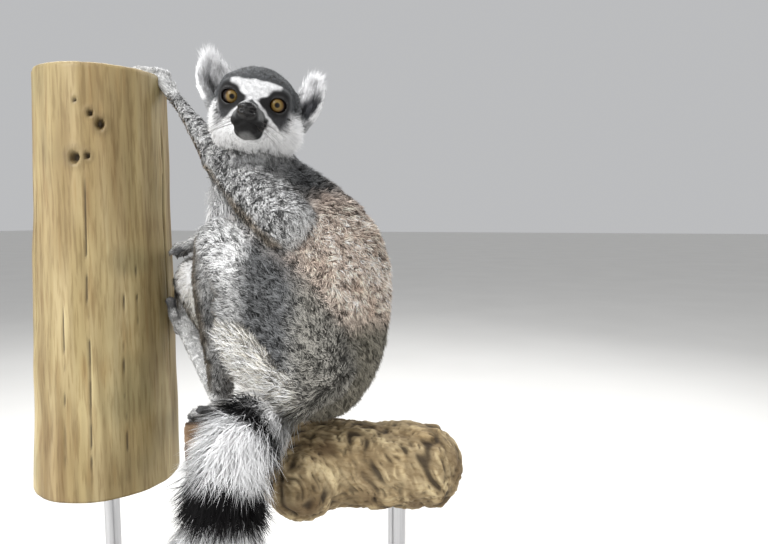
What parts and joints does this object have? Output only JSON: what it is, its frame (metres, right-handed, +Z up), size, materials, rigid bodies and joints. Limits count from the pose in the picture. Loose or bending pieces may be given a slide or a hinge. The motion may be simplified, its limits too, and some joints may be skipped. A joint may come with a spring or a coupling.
{
  "type": "ring-tailed lemur model",
  "caption": "Life-size ring-tailed lemur sitting on a cut branch with one hand up on a cut post, carried by rods on a flat display base.",
  "frame": {"origin": "middle of the underside of the stand's base", "axes": "+Z up; the lemur's body faces -X towards the post and its left side faces -Y; its head is turned over the left shoulder towards -Y"},
  "size_m": [0.46, 0.34, 0.8048],
  "materials": {
    "grey_fur": "soft speckled coat",
    "white_fur": "soft coat",
    "ringed_fur": "long soft coat in black and white rings",
    "dark_skin": "bare dark skin with short fur on top",
    "amber_eye": "wet",
    "driftwood": "rough and weathered",
    "peeled_pine": "peeled and worn smooth",
    "stand_paint": "satin black paint over board",
    "stand_steel": "brushed"
  },
  "bodies": {
    "root": {"ear_left": "white_fur", "ear_right": "white_fur", "eye_left": "amber_eye", "eye_right": "amber_eye", "foot_left": "dark_skin", "foot_right": "dark_skin", "forearm_left": "grey_fur", "forearm_right": "grey_fur", "hand_left": "dark_skin", "hand_right": "dark_skin", "head": "white_fur", "neck": "grey_fur", "perch_branch": "driftwood", "perch_post": "peeled_pine", "shank_left": "grey_fur", "shank_right": "grey_fur", "stand_base": "stand_paint", "stand_rod_branch": "stand_steel", "stand_rod_post": "stand_steel", "tail_1": "ringed_fur", "tail_2": "ringed_fur", "tail_3": "ringed_fur", "tail_4": "ringed_fur", "tail_5": "ringed_fur", "thigh_left": "grey_fur", "thigh_right": "grey_fur", "trunk": "grey_fur", "upper_arm_left": "grey_fur", "upper_arm_right": "grey_fur"}
  },
  "joints": []
}
